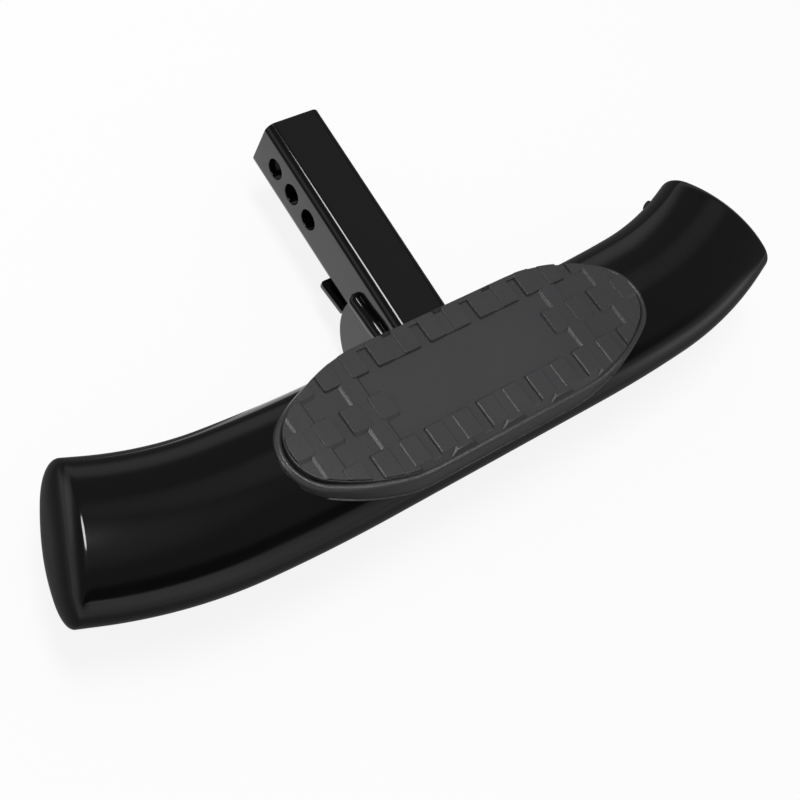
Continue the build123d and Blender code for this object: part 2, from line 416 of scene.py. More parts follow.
@dataclass(frozen=True)
class Finish:
    """A surface finish with grain.

    The roughness is its least and most over the patches, and the tint is how far they shift the colour.
    """

    name: str
    colour: tuple[float, float, float]
    roughness: tuple[float, float]
    coarse: float
    fine: float
    mix: float
    depth: float
    strength: float
    specular: float = 0.5
    tint: float = 0.1

    def toned(self, share: float) -> tuple[float, ...]:
        """The colour made lighter or darker."""
        return tuple(c * share for c in self.colour) + (1.0,)

    def material(self) -> Material:
        """Builds the finish's material.

        Returns:
            The material, on object coordinates.
        """
        made = bpy.data.materials.new(self.name)
        made.use_nodes = True
        sheet = NodeSheet(made.node_tree)
        place = sheet.node("ShaderNodeTexCoord").outputs["Object"]
        given = {"Vector": place, "Coarse": self.coarse, "Fine": self.fine, "Mix": self.mix}
        grain = sheet.node("ShaderNodeGroup", given, node_tree=grain_group()).outputs
        spread = sheet.node("ShaderNodeMapRange", {
            "Value": grain["Patches"], "From Min": PATCH_SPAN[0], "From Max": PATCH_SPAN[1],
            "To Min": self.roughness[0], "To Max": self.roughness[1],
        })
        tones = {0: grain["Patches"], 6: self.toned(1 - self.tint), 7: self.toned(1 + self.tint)}
        shift = sheet.node("ShaderNodeMix", tones, data_type="RGBA")
        bump = sheet.node("ShaderNodeBump", {
            "Height": grain["Height"], "Distance": self.depth, "Strength": self.strength,
        })
        sheet.fill(made.node_tree.nodes["Principled BSDF"], {
            "Base Color": shift.outputs[2], "Roughness": spread.outputs["Result"],
            "Normal": bump.outputs["Normal"], "Specular IOR Level": self.specular,
        })
        return made


POWDER_COAT = Finish(
    "gloss_black_powder_coat", (0.003, 0.003, 0.0032), (0.08, 0.12),
    coarse=260.0, fine=900.0, mix=0.35, depth=0.00012, strength=0.06,
)
TREAD_PLASTIC = Finish(
    "satin_tread_plastic", (0.03, 0.03, 0.0317), (0.27, 0.31),
    coarse=700.0, fine=1900.0, mix=0.5, depth=0.00025, strength=0.7, tint=0.14,
)
PLUG_RUBBER = Finish(
    "matte_plug_rubber", (0.018, 0.018, 0.018), (0.6, 0.75),
    coarse=1200.0, fine=3000.0, mix=0.5, depth=0.0001, strength=0.25, specular=0.35,
)


# Sub-assemblies


@dataclass
class StepTube:
    """The oval step tube with its swept ends and domed caps.

    Each bend is a radius and an angle. The dome's powers shape its front, its rear and its height.
    """

    width: float = 115.2 * MM
    height: float = 66.0 * MM
    end_r: float = 23.5 * MM
    oval_steps: tuple[int, int] = (22, 18)
    centre: Vector = field(default_factory=lambda: Vector((0, -206.2, 9.3)) * MM)
    straight: float = 106.2 * MM
    straight_steps: int = 6
    first_bend: tuple[float, float] = (1430.0 * MM, 3.95)
    second_bend: tuple[float, float] = (342.6 * MM, 17.16)
    least_bend_steps: int = 10
    steps_per_degree: float = 2.2
    tail: float = 14.35 * MM
    tail_steps: int = 4
    cut_tilt: float = 9.1
    dome: float = 12.3 * MM
    dome_powers: tuple[float, float, float] = (2.6, 3.5, 3.5)
    dome_steps: int = 26
    dome_open: float = 0.6
    dome_pace: float = 2.6
    crease: float = 2.6 * MM
    crease_steps: int = 5
    crease_turn: float = 3.0

    def section(self, bm: BMesh) -> list[BMEdge]:
        """Draws the oval across the middle of the tube.

        Args:
            bm: An empty mesh.

        Returns:
            The oval's edges, in the plane x = 0.
        """
        half_h = self.height / 2
        reach = self.width / 2 - self.end_r
        crown_r = (reach**2 + half_h**2 - self.end_r**2) / (2 * (half_h - self.end_r))
        join = math.degrees(math.atan2(crown_r - half_h, reach))
        top = bmesh.ops.create_vert(bm, co=(0, half_h, 0))["vert"]
        crown_steps, end_steps = self.oval_steps
        shoulder = turn(bm, top, Vector((0, half_h - crown_r, 0)), DOWN, 90 - join, crown_steps)
        turn(bm, verts_of(shoulder), Vector((reach, 0, 0)), DOWN, join, end_steps)
        mirror_all(bm, "Y")
        mirror_all(bm, "X")
        across = Matrix(((0, 0, 1, 0), (1, 0, 0, 0), (0, 1, 0, 0), (0, 0, 0, 1)))
        bmesh.ops.transform(bm, matrix=Matrix.Translation(self.centre) @ across, verts=bm.verts[:])
        return bm.edges[:]

    def heading(self, degrees: float) -> Vector:
        """Direction of the tube in plan after turning by an angle."""
        return Vector((math.cos(math.radians(degrees)), math.sin(math.radians(degrees)), 0))

    def inward(self, degrees: float) -> Vector:
        """Level direction from the tube to its vehicle side after turning by an angle."""
        return Vector((-math.sin(math.radians(degrees)), math.cos(math.radians(degrees)), 0))

    def spot_after(self, bends: Sequence[tuple[float, float]]) -> tuple[Vector, float]:
        """Follows the tube's centre line past its straight and some bends.

        Args:
            bends: The bends.

        Returns:
            The place reached, and the angle turned.
        """
        spot, turned = self.centre + Vector((self.straight, 0, 0)), 0.0
        for radius, arc in bends:
            pivot = spot + self.inward(turned) * radius
            turned += arc
            spot = pivot - self.inward(turned) * radius
        return spot, turned

    def half_run(self, bm: BMesh) -> Matrix:
        """Sweeps the oval from the middle to beyond the right end.

        Args:
            bm: An empty mesh.

        Returns:
            The frame of the slanted cut.
        """
        ring = self.section(bm)
        for _ in range(self.straight_steps):
            ring = pull(bm, ring, Vector((self.straight / self.straight_steps, 0, 0)))
        bends = (self.first_bend, self.second_bend)
        for done, (radius, arc) in enumerate(bends):
            spot, turned = self.spot_after(bends[:done])
            steps = max(self.least_bend_steps, round(arc * self.steps_per_degree))
            ring = edges_of(turn(bm, ring, spot + self.inward(turned) * radius, UP, arc, steps))
        spot, turned = self.spot_after(bends)
        along = self.heading(turned)
        for _ in range(self.tail_steps):
            ring = pull(bm, ring, along * (self.tail / 2))
        normal = (along + UP * math.tan(math.radians(self.cut_tilt))).normalized()
        side = UP.cross(along).normalized()
        plane = Matrix((side, normal.cross(side), normal)).transposed().to_4x4()
        return Matrix.Translation(spot + along * self.tail) @ plane

    def close_dome(self, bm: BMesh, ring: list[BMEdge], plane: Matrix) -> None:
        """Draws the cut outline in to a shallow dome.

        Args:
            bm: The mesh.
            ring: The edges along the cut.
            plane: The frame of the cut.
        """
        normal = plane.to_3x3() @ UP
        flat = plane.inverted()
        front_power, rear_power, high_power = self.dome_powers
        last_fore, last_aft, last_high, last_share = 1.0, 1.0, 1.0, 0.0
        for step in range(1, self.dome_steps + 1):
            share = 1 - (1 - step / (self.dome_steps + self.dome_open)) ** self.dome_pace
            fore, aft = ((1 - share**2) ** (1 / power) for power in (front_power, rear_power))
            high = (1 - share) ** (1 / high_power)
            ring = pull(bm, ring, normal * (share - last_share) * self.dome)
            rim = set(ends_of(ring))
            front = {v for v in rim if (flat @ v.co).x < 0}
            for verts, across in ((front, fore / last_fore), (rim - front, aft / last_aft)):
                bmesh.ops.scale(bm, vec=(across, high / last_high, 1), space=flat, verts=list(verts))
            last_fore, last_aft, last_high, last_share = fore, aft, high, share
        bmesh.ops.edgeloop_fill(bm, edges=ring)

    def build(self, finish: Material) -> Object:
        """Builds the tube with both caps in one smooth skin.

        Args:
            finish: The powder coat.

        Returns:
            The piece.
        """
        bm = bmesh.new()
        plane = self.half_run(bm)
        ring = cut_off(bm, plane.translation, plane.to_3x3() @ UP, close=False)
        self.close_dome(bm, ring, plane)
        limit = math.radians(self.crease_turn)
        bent = [e for e in ring if e.is_valid and e.calc_face_angle(0) > limit]
        soften(bm, bent, self.crease, self.crease_steps)
        mirror_all(bm, "X")
        face_out(bm)
        shade(bm, 40)
        nodes = ["step_tube", "left_end_cap", "right_end_cap"]
        return piece("tube_skin", bm, finish, nodes)


@dataclass
class Shank:
    """The square receiver shank with its row of pin holes."""

    size: float = 50.8 * MM
    wall: float = 6.35 * MM
    corner: float = 7.8 * MM
    corner_steps: int = 10
    end_y: float = 50.8 * MM
    root_y: float = -172.1 * MM
    hole_r: float = 8.7 * MM
    hole_steps: int = 48
    hole_ys: tuple[float, ...] = (-25.0 * MM, 0.0, 25.0 * MM)
    edge: float = 0.7 * MM

    def drilled_side(self, bm: BMesh, side: Side) -> None:
        """Fills one open side of the bent sheet, round its pin holes.

        Args:
            bm: The sheet.
            side: Which side.
        """
        x, flat = side.value * self.size / 2, self.size / 2 - self.corner
        rim = [
            e for e in bm.edges if e.is_boundary
            and all(abs(v.co.x - x) < NEAR and abs(v.co.z) < flat + NEAR for v in e.verts)
        ]
        ends = ends_of(rim)
        for y in {round(v.co.y, 6) for v in ends}:
            level = sorted((v for v in ends if abs(v.co.y - y) < NEAR), key=lambda v: v.co.z)
            rim += [bm.edges.get(pair) or bm.edges.new(pair) for pair in zip(level, level[1:])]
        for y in self.hole_ys:
            place = Matrix.Translation((x, y, 0)) @ Matrix.Rotation(math.radians(90), 4, "Y")
            made = bmesh.ops.create_circle(
                bm, segments=self.hole_steps, radius=self.hole_r, cap_ends=False, matrix=place,
            )
            rim += {e for v in made["verts"] for e in v.link_edges}
        bmesh.ops.triangle_fill(bm, use_beauty=True, use_dissolve=False, edges=list(set(rim)))

    def build(self, finish: Material) -> Object:
        """Builds the shank as a bent sheet with holes, given its wall inwards.

        Args:
            finish: The powder coat.

        Returns:
            The piece.
        """
        bm = bmesh.new()
        half = self.size / 2
        ring = rounded_wire(bm, Vector((half, half, 0)), self.corner, self.corner_steps)
        bmesh.ops.transform(bm, matrix=Matrix.Rotation(math.radians(90), 4, "X"), verts=bm.verts[:])
        bmesh.ops.translate(bm, vec=(0, self.root_y, 0), verts=bm.verts[:])
        pull(bm, ring, Vector((0, self.end_y - self.root_y, 0)))
        walls = [f for f in bm.faces if abs(f.calc_center_median().x) > half - 10 * NEAR]
        bmesh.ops.delete(bm, geom=walls, context="FACES")
        for side in Side:
            self.drilled_side(bm, side)
        bmesh.ops.remove_doubles(bm, verts=bm.verts[:], dist=NEAR)
        face_out(bm)
        bmesh.ops.solidify(bm, geom=bm.faces[:], thickness=self.wall)
        face_out(bm)
        soften(bm, sharp_edges(bm, 60), self.edge, 3)
        shade(bm, 40)
        return piece("shank_skin", bm, finish, ["receiver_shank"])


@dataclass
class Gussets:
    """The two round plates against the shank's sides, each with a flat top edge."""

    radius: float = 52.0 * MM
    round_steps: int = 128
    thick: float = 6.35 * MM
    at: tuple[float, float] = (-150.4 * MM, -13.5 * MM)
    face_x: float = 25.4 * MM
    top_z: float = -3.2 * MM
    top_rise: float = 5.9
    edge: float = 0.8 * MM

    def rear_y(self) -> float:
        """Where the flat top edge meets the round edge on the vehicle side."""
        return self.at[0] + math.sqrt(self.radius**2 - (self.top_z - self.at[1]) ** 2)

    def build(self, side: Side, finish: Material) -> Object:
        """Builds one plate.

        Args:
            side: Which side of the shank.
            finish: The powder coat.

        Returns:
            The piece.
        """
        bm = bmesh.new()
        place = Matrix.Translation((self.face_x, *self.at)) @ Matrix.Rotation(math.radians(90), 4, "Y")
        bmesh.ops.create_circle(
            bm, segments=self.round_steps, radius=self.radius, cap_ends=True, matrix=place,
        )
        rise = math.radians(self.top_rise)
        corner = Vector((self.face_x, self.rear_y(), self.top_z))
        cut_off(bm, corner, Vector((0, math.sin(rise), math.cos(rise))), close=False)
        grown = bmesh.ops.extrude_face_region(bm, geom=bm.faces[:])["geom"]
        bmesh.ops.translate(bm, vec=(self.thick, 0, 0), verts=verts_of(grown))
        if side is Side.LEFT:
            bmesh.ops.scale(bm, vec=(-1, 1, 1), verts=bm.verts[:])
        face_out(bm)
        soften(bm, sharp_edges(bm, 50), self.edge, 3)
        shade(bm, 40)
        name = side.name.lower()
        return piece(f"{name}_gusset_skin", bm, finish, [f"{name}_gusset"])


@dataclass
class Tab:
    """The bent strip under the shank, narrow at its root and wide beyond the bend."""

    top_z: float = -25.4 * MM
    thick: float = 4.5 * MM
    neck: float = 25.2 * MM
    half_w: float = 29.4 * MM
    widening: float = 0.5 * MM
    ys: tuple[float, float, float] = (-130.2 * MM, -97.7 * MM, -65.7 * MM)
    droop: float = 8.0
    corner: float = 4.0 * MM
    edge: float = 0.6 * MM

    def build(self, finish: Material) -> Object:
        """Builds the strip from one edge, pulled along it.

        Args:
            finish: The powder coat.

        Returns:
            The piece.
        """
        bm = bmesh.new()
        root_y, bend_y, tip_y = self.ys
        run = tip_y - bend_y
        fall = run * math.tan(math.radians(self.droop))
        start = bmesh.ops.create_vert(bm, co=(-self.neck, root_y, self.top_z))["vert"]
        far = bmesh.ops.extrude_vert_indiv(bm, verts=start)
        bmesh.ops.translate(bm, vec=(2 * self.neck, 0, 0), verts=far["verts"])
        chain = pull(bm, far["edges"], Vector((0, bend_y - root_y, 0)))
        wide = pull(bm, chain, Vector((0, self.widening, 0)))
        bmesh.ops.scale(bm, vec=(self.half_w / self.neck, 1, 1), verts=ends_of(wide))
        tip = pull(bm, wide, Vector((0, run - self.widening, -fall)))
        bmesh.ops.bevel(
            bm, geom=ends_of(tip), offset=self.corner, offset_type="OFFSET",
            affect="VERTICES", segments=6, profile=0.5, material=-1, clamp_overlap=True,
        )
        grown = bmesh.ops.extrude_face_region(bm, geom=bm.faces[:])["geom"]
        bmesh.ops.translate(bm, vec=(0, 0, -self.thick), verts=verts_of(grown))
        face_out(bm)
        soften(bm, sharp_edges(bm, 50), self.edge, 2)
        shade(bm, 40)
        return piece("tab_skin", bm, finish, ["shank_tab"])


@dataclass
class Welds:
    """The uneven beads on the gussets' top edges and across the shank's root.

    The lead, tip and nose are shares of a bead's radius. The run is how far a gusset's bead goes
    along, and the length that its rise is taken over. Lumps and roughness are an amount and a noise scale.
    """

    gussets: Gussets
    radius: float = 6.2 * MM
    outset: float = 1.5 * MM
    lead: float = 0.25
    run: tuple[float, float] = (48.0 * MM, 50.0 * MM)
    seam_r: float = 4.05 * MM
    seam: tuple[float, float] = (-155.2 * MM, 25.4 * MM)
    seam_half: float = 17.6 * MM
    tip: float = 0.2
    nose: float = 0.95
    round_steps: int = 40
    steps: int = 90
    pace: float = 1.15
    lumps: tuple[float, float] = (0.12, 60.0)
    rough: tuple[float, float] = (0.06, 55.0)
    noise_seed: int = 1
    gusset_seed: float = 3.0
    seam_seed: float = 9.0

    def bead(self, start: Vector, end: Vector, radius: float, seed: float) -> BMesh:
        """Draws one bead from a round nose along a line, with uneven width.

        Args:
            start: The nose's centre.
            end: The far end.
            radius: The bead's radius.
            seed: What sets this bead's unevenness apart.

        Returns:
            The bead's mesh.
        """
        bm = bmesh.new()
        way = end - start
        along = way.normalized()
        first = -radius * self.nose
        size, at = radius * self.tip, first
        facing = along.to_track_quat("Z", "Y").to_matrix().to_4x4()
        place = Matrix.Translation(start + along * first) @ facing
        bmesh.ops.create_circle(bm, segments=self.round_steps, radius=size, cap_ends=True, matrix=place)
        ring = [e for e in bm.edges if e.is_boundary]
        for step in range(1, self.steps + 1):
            spot = first + (way.length - first) * (step / self.steps) ** self.pace
            nose = math.sqrt(max(self.tip**2, 1 - min(0.0, spot / radius) ** 2))
            lump = 1 + self.lumps[0] * noise.noise(Vector((spot * self.lumps[1], seed, 0)))
            new = radius * nose * lump
            ring = pull(bm, ring, along * (spot - at))
            centre = start + along * spot
            bmesh.ops.scale(
                bm, vec=(new / size,) * 3, space=Matrix.Translation(-centre), verts=ends_of(ring),
            )
            size, at = new, spot
        bmesh.ops.edgeloop_fill(bm, edges=ring)
        amount, scale = self.rough
        for vert in bm.verts:
            shift = noise.noise_vector(vert.co * scale + Vector((seed, 0, 0)))
            vert.co += Vector(shift) * radius * amount
        face_out(bm)
        shade(bm, 70)
        return bm

    def build(self, finish: Material) -> list[Object]:
        """Builds the beads.

        Args:
            finish: The powder coat.

        Returns:
            The two pieces.
        """
        noise.seed_set(self.noise_seed)
        gusset = self.gussets
        rise = math.tan(math.radians(gusset.top_rise))
        lead = self.radius * self.lead
        back = gusset.rear_y() - lead
        beads = []
        for side in Side:
            x = side.value * (gusset.face_x + self.outset)
            start = Vector((x, back, gusset.top_z + rise * lead))
            end = Vector((x, back - self.run[0], gusset.top_z + rise * self.run[1]))
            beads.append(self.bead(start, end, self.radius, self.gusset_seed + side.value))
        left, right = (Vector((x, *self.seam)) for x in (-self.seam_half, self.seam_half))
        seam = self.bead(left, right, self.seam_r, self.seam_seed)
        return [
            piece("gusset_weld_skin", joined(beads), finish, ["gusset_beads"], flats=False),
            piece("root_weld_skin", seam, finish, ["root_seam"], flats=False),
        ]


@dataclass
class TreadPad:
    """The moulded tread pad: field, skirt, rim, bars and blocks.

    A plan is a half length, a half width, a tip radius and a shift. A nose is the place across the pad
    and the angle of a sloped front. The groove and the foot of the rim are insets and heights in
    millimetres, and the roll goes by shares of its width.
    """

    tube: StepTube
    tilt: float = 6.16
    at: tuple[float, float] = (-196.65 * MM, 48.95 * MM)
    flat: float = 70.0 * MM
    plan_steps: tuple[int, int] = (12, 16)
    field_plan: Plan = (167.0 * MM, 53.5 * MM, 34.0 * MM, -2.4 * MM)
    lip_plan: Plan = (175.2 * MM, 56.3 * MM, 38.0 * MM, -4.0 * MM)
    field_edge: float = 1.1 * MM
    wall: float = 4.0 * MM
    skirt: float = 30.5 * MM
    notch: tuple[float, float] = (31.4 * MM, 31.4 * MM)
    notch_back: float = 50.0 * MM
    crest: float = -3.8 * MM
    front_drop: tuple[float, float] = (-3.4 * MM, 0.88)
    rear_drop: tuple[float, float] = (-4.2 * MM, 0.55)
    least_rim: float = 2.6 * MM
    room_span: tuple[float, float] = (4.0 * MM, 22.0 * MM)
    groove: tuple[tuple[float, float], ...] = ((9.0, 3.0), (7.4, 2.5), (6.6, 1.7), (5.8, 0.75), (5.0, 0.18))
    roll: tuple[float, ...] = (0.0, 0.2, 0.4, 0.56, 0.7, 0.8, 0.88, 0.94, 0.98, 1.0)
    roll_high: float = 5.5 * MM
    roll_from: float = 4.2 * MM
    roll_gap: float = 0.4 * MM
    roll_slope: float = 0.18
    roll_powers: tuple[float, float] = (2.0, 6.0)
    rim_wall: float = 1.0 * MM
    foot: tuple[tuple[float, float], ...] = (
        (1.0, 0.3), (0.85, 0.1), (0.5, -0.03), (0.12, -0.18),
        (0.02, -0.38), (0.0, -0.65), (0.0, -1.2), (0.6, -1.6),
    )
    foot_lift: tuple[float, float] = (-1.4 * MM, 3.7 * MM)
    foot_least: float = 0.15
    hem: tuple[float, float] = (0.6 * MM, -0.3 * MM)
    block: tuple[float, float, float] = (15.4 * MM, 21.5 * MM, 2.6 * MM)
    block_corner: float = 1.8 * MM
    block_flank: float = 0.65 * MM
    block_sink: float = 1.0 * MM
    block_proud: float = 0.08 * MM
    front_reach: float = 8.0 * MM
    side_edge: tuple[float, int] = (0.8 * MM, 3)
    front_edge: tuple[float, int] = (0.15 * MM, 2)
    ramp: float = 2.5 * MM
    pitch: float = 24.35 * MM
    row: float = 39.24 * MM
    columns: int = 14
    end_columns: int = 4
    bar: tuple[float, float, float] = (14.9 * MM, 1.6 * MM, 1.8 * MM)
    bar_sink: float = 5.0 * MM
    bar_reach: float = 60.0 * MM
    bar_edge: float = 0.4 * MM
    outer_bar: int = 3
    panel_bar: int = 1
    panel: float = 28.4 * MM
    rail: tuple[float, float] = (46.5 * MM, 85.0 * MM)
    nose: tuple[float, float] = (-52.4 * MM, 52.0)
    bar_nose: tuple[float, float] = (-53.9 * MM, 72.0)
    inset: float = 0.6 * MM

    def frame(self) -> Matrix:
        """The pad's own frame: x along the step, y to the vehicle, z off the tread."""
        return Matrix.Translation((0, *self.at)) @ Matrix.Rotation(math.radians(-self.tilt), 4, "X")

    def plan(self, bm: BMesh, sizes: Plan, inset: float) -> list[BMEdge]:
        """Draws the pad's long oval: straight sides drawn in by large arcs to round tips.

        Args:
            bm: An empty mesh.
            sizes: The plan.
            inset: How far the oval is set in.

        Returns:
            The outline's edges, in the pad's plane.
        """
        half_l, half_w, tip_r = (size - inset for size in sizes[:3])
        run = half_l - tip_r - self.flat
        side_r = (run**2 + half_w**2 - tip_r**2) / (2 * (half_w - tip_r))
        lean = math.degrees(math.atan2(run, side_r - half_w))
        start = bmesh.ops.create_vert(bm, co=(0, half_w, 0))["vert"]
        for x in (self.notch[0], self.flat - self.notch[0]):
            start = bmesh.ops.extrude_vert_indiv(bm, verts=start)["verts"]
            bmesh.ops.translate(bm, vec=(x, 0, 0), verts=start)
        side_steps, tip_steps = self.plan_steps
        side = turn(bm, start, Vector((self.flat, half_w - side_r, 0)), DOWN, lean, side_steps)
        turn(bm, verts_of(side), Vector((half_l - tip_r, 0, 0)), DOWN, 90 - lean, tip_steps)
        mirror_all(bm, "Y")
        mirror_all(bm, "X")
        bmesh.ops.translate(bm, vec=(0, sizes[3], 0), verts=bm.verts[:])
        return bm.edges[:]

    def fence(self) -> list[Plane]:
        """Upright planes just inside the field's outline, for trimming to it.

        Returns:
            A point and an outward direction for each plane, in the pad's frame.
        """
        bm = bmesh.new()
        planes = []
        for edge in self.plan(bm, self.field_plan, self.inset):
            a, b = (v.co.copy() for v in edge.verts)
            middle = (a + b) / 2
            out = (b - a).cross(UP).normalized()
            planes.append((middle, out if out.dot(middle) > 0 else -out))
        bm.free()
        return planes

    def nose_plane(self, nose: tuple[float, float], level: float) -> Plane:
        """A sloped front edge, through a line across the pad.

        Args:
            nose: The line's place and the slope's angle.
            level: The line's height.

        Returns:
            A point on the slope and its outward direction.
        """
        slope = math.radians(nose[1])
        return Vector((0, nose[0], level)), Vector((0, -math.sin(slope), math.cos(slope)))

    def body(self) -> BMesh:
        """The field and skirt, with a notch over the shank.

        Returns:
            The mesh, in the pad's frame.
        """
        bm = bmesh.new()
        ring = self.plan(bm, self.field_plan, 0)
        level = -self.block[2]
        bmesh.ops.translate(bm, vec=(0, 0, level), verts=bm.verts[:])
        bmesh.ops.edgeloop_fill(bm, edges=ring)
        notch_x, notch_z = self.notch
        notch_level = (self.frame().inverted() @ Vector((0, self.at[0] + self.notch_back, notch_z))).z
        ring = pull(bm, ring, Vector((0, 0, notch_level - level)))
        notch_end = notch_x + 10 * NEAR
        deep = [e for e in ring if not all(v.co.y > 0 and abs(v.co.x) < notch_end for v in e.verts)]
        pull(bm, deep, Vector((0, 0, -self.skirt - notch_level)))
        cut_off(bm, *self.nose_plane(self.nose, level), close=True)
        face_out(bm)
        soften(bm, top_edges(bm, 25, 0.5), self.field_edge, 3)
        bmesh.ops.solidify(bm, geom=bm.faces[:], thickness=self.wall)
        face_out(bm)
        shade(bm, 35)
        return bm

    def levels(self) -> list[tuple[float, float]]:
        """Heights along the rim's outline.

        Returns:
            The rim's crest and the tube under its outer edge, for each vertex of the outline.
        """
        cover = bmesh.new()
        self.tube.half_run(cover)
        mirror_all(cover, "X")
        bmesh.ops.transform(cover, matrix=self.frame().inverted(), verts=cover.verts[:])
        tube = BVHTree.FromBMesh(cover)
        cover.free()
        ring = bmesh.new()
        self.plan(ring, self.lip_plan, 0)
        _, half_w, _, shift = self.lip_plan
        heights = []
        for vert in ring.verts:
            hit = tube.ray_cast(Vector((vert.co.x, vert.co.y, self.skirt)), DOWN)[0]
            ground = hit.z if hit else -self.skirt
            across = (vert.co.y - shift) / half_w
            crest = self.crest
            for (drop, begin), out in ((self.front_drop, -across), (self.rear_drop, across)):
                crest += drop * ease(out, begin, 1.0)
            heights.append((max(crest, ground + self.least_rim), ground))
        ring.free()
        return heights

    def rim_height(self, part: RimPart, by: float, crest: float, ground: float) -> float:
        """The rim's height at one place.

        Args:
            part: The part of the rim.
            by: The share of the roll, or the height off another part's own level.
            crest: The crest's height there.
            ground: The tube's height there.

        Returns:
            The height, in the pad's frame.
        """
        room = crest - ground
        share = ease(room, *self.room_span)
        if part is RimPart.GROOVE:
            return crest + by
        if part is RimPart.ROLL:
            least, more = self.roll_powers
            curve = 1 - math.sqrt(1 - by ** (least + more * share))
            fall = min(self.roll_high, room - self.roll_gap)
            return crest - fall * (self.roll_slope * by + (1 - self.roll_slope) * curve)
        if part is RimPart.FOOT:
            low, rise = self.foot_lift
            return ground + low + rise * share + by * (self.foot_least + (1 - self.foot_least) * share)
        return ground + by

    def rim(self) -> BMesh:
        """The rim outside the field: a groove, a soft roll, a wall and a thin ledge at its foot.

        Returns:
            The mesh, in the pad's frame.
        """
        heights = self.levels()
        span = self.roll_from - self.rim_wall
        steps = [(RimPart.GROOVE, inset * MM, -drop * MM) for inset, drop in self.groove]
        steps += [(RimPart.ROLL, self.rim_wall + span * (1 - share), share) for share in self.roll]
        steps += [(RimPart.FOOT, inset * MM, lift * MM) for inset, lift in self.foot]
        steps.append((RimPart.HEM, *self.hem))
        rings = []
        for part, inset, by in steps:
            ring = bmesh.new()
            self.plan(ring, self.lip_plan, inset)
            for vert, (crest, ground) in zip(ring.verts, heights):
                vert.co.z = self.rim_height(part, by, crest, ground)
            rings.append(ring)
        bm = joined(rings)
        bm.edges.ensure_lookup_table()
        count = len(bm.edges) // len(rings)
        loops = [bm.edges[k * count:(k + 1) * count] for k in range(len(rings))]
        for inner, outer in zip(loops, loops[1:]):
            bmesh.ops.bridge_loops(bm, edges=inner + outer)
        face_out(bm)
        if sum(f.normal.z * f.calc_area() for f in bm.faces) < 0:
            bmesh.ops.reverse_faces(bm, faces=bm.faces[:])
        shade(bm, 60)
        return bm

    def clip(self, bm: BMesh, planes: Sequence[Plane]) -> None:
        """Trims a small closed mesh to the planes that it crosses.

        Args:
            bm: The mesh.
            planes: Points and outward directions.
        """
        for point, out in planes:
            if any((v.co - point).dot(out) > NEAR for v in bm.verts):
                cut_off(bm, point, out, close=True)

    def tread_block(self, x: float, v: float, ramped: bool, fence: Sequence[Plane]) -> BMesh | None:
        """One tread block, trimmed to the pad's outline.

        Args:
            x: Its centre along the pad.
            v: Its centre across the pad.
            ramped: Whether its front face is a ramp.
            fence: The outline's planes.

        Returns:
            The block, or nothing where the outline leaves none of it.
        """
        width, depth, high = self.block
        reach = self.front_reach if v < -NEAR else 0.0
        depth += reach
        bm = bmesh.new()
        ring = rounded_wire(bm, Vector((width, depth, 0)) / 2, self.block_corner, 4)
        bmesh.ops.edgeloop_fill(bm, edges=ring)
        foot = pull(bm, ring, Vector((0, 0, -high)))
        grow = Vector((1 + 2 * self.block_flank / width, 1 + 2 * self.block_flank / depth, 1))
        bmesh.ops.scale(bm, vec=grow, verts=ends_of(foot))
        if ramped:
            limit = -depth / 2 + self.block_corner * 1.2
            front = [vert for vert in bm.verts if vert.co.y < limit and vert.co.z > -NEAR]
            bmesh.ops.translate(bm, vec=(0, self.ramp - self.block_flank, 0), verts=front)
        sunk = pull(bm, foot, Vector((0, 0, -self.block_sink)))
        bmesh.ops.edgeloop_fill(bm, edges=sunk)
        bmesh.ops.translate(bm, vec=(x, v - reach / 2, 0), verts=bm.verts[:])
        face_out(bm)
        self.clip(bm, fence)
        if not bm.faces:
            bm.free()
            return None
        face_out(bm)
        for at_front, (bevel, segments) in ((False, self.side_edge), (True, self.front_edge)):
            tops = top_edges(bm, 30, 0.9)
            edges = [e for e in tops if any(f.normal.y < -0.4 for f in e.link_faces) == at_front]
            soften(bm, edges, bevel, segments)
        shade(bm, 35)
        return bm

    def blocks(self) -> list[BMesh]:
        """The three rows of blocks; the middle row leaves the panel free.

        Returns:
            Their meshes, in the pad's frame.
        """
        place, slope = self.nose
        fence = self.fence() + [self.nose_plane((place - self.block_proud, slope), -self.block[2])]
        last = self.columns - 1
        full = range(1, last)
        ends = [k for k in range(self.columns) if min(k, last - k) < self.end_columns]
        made = []
        for row, columns in ((-1, full), (0, ends), (1, full)):
            for k in columns:
                ramped = row == 0 or (row == 1 and k in (1, last - 1))
                made.append(self.tread_block((k - last / 2) * self.pitch, row * self.row, ramped, fence))
        return [bm for bm in made if bm]

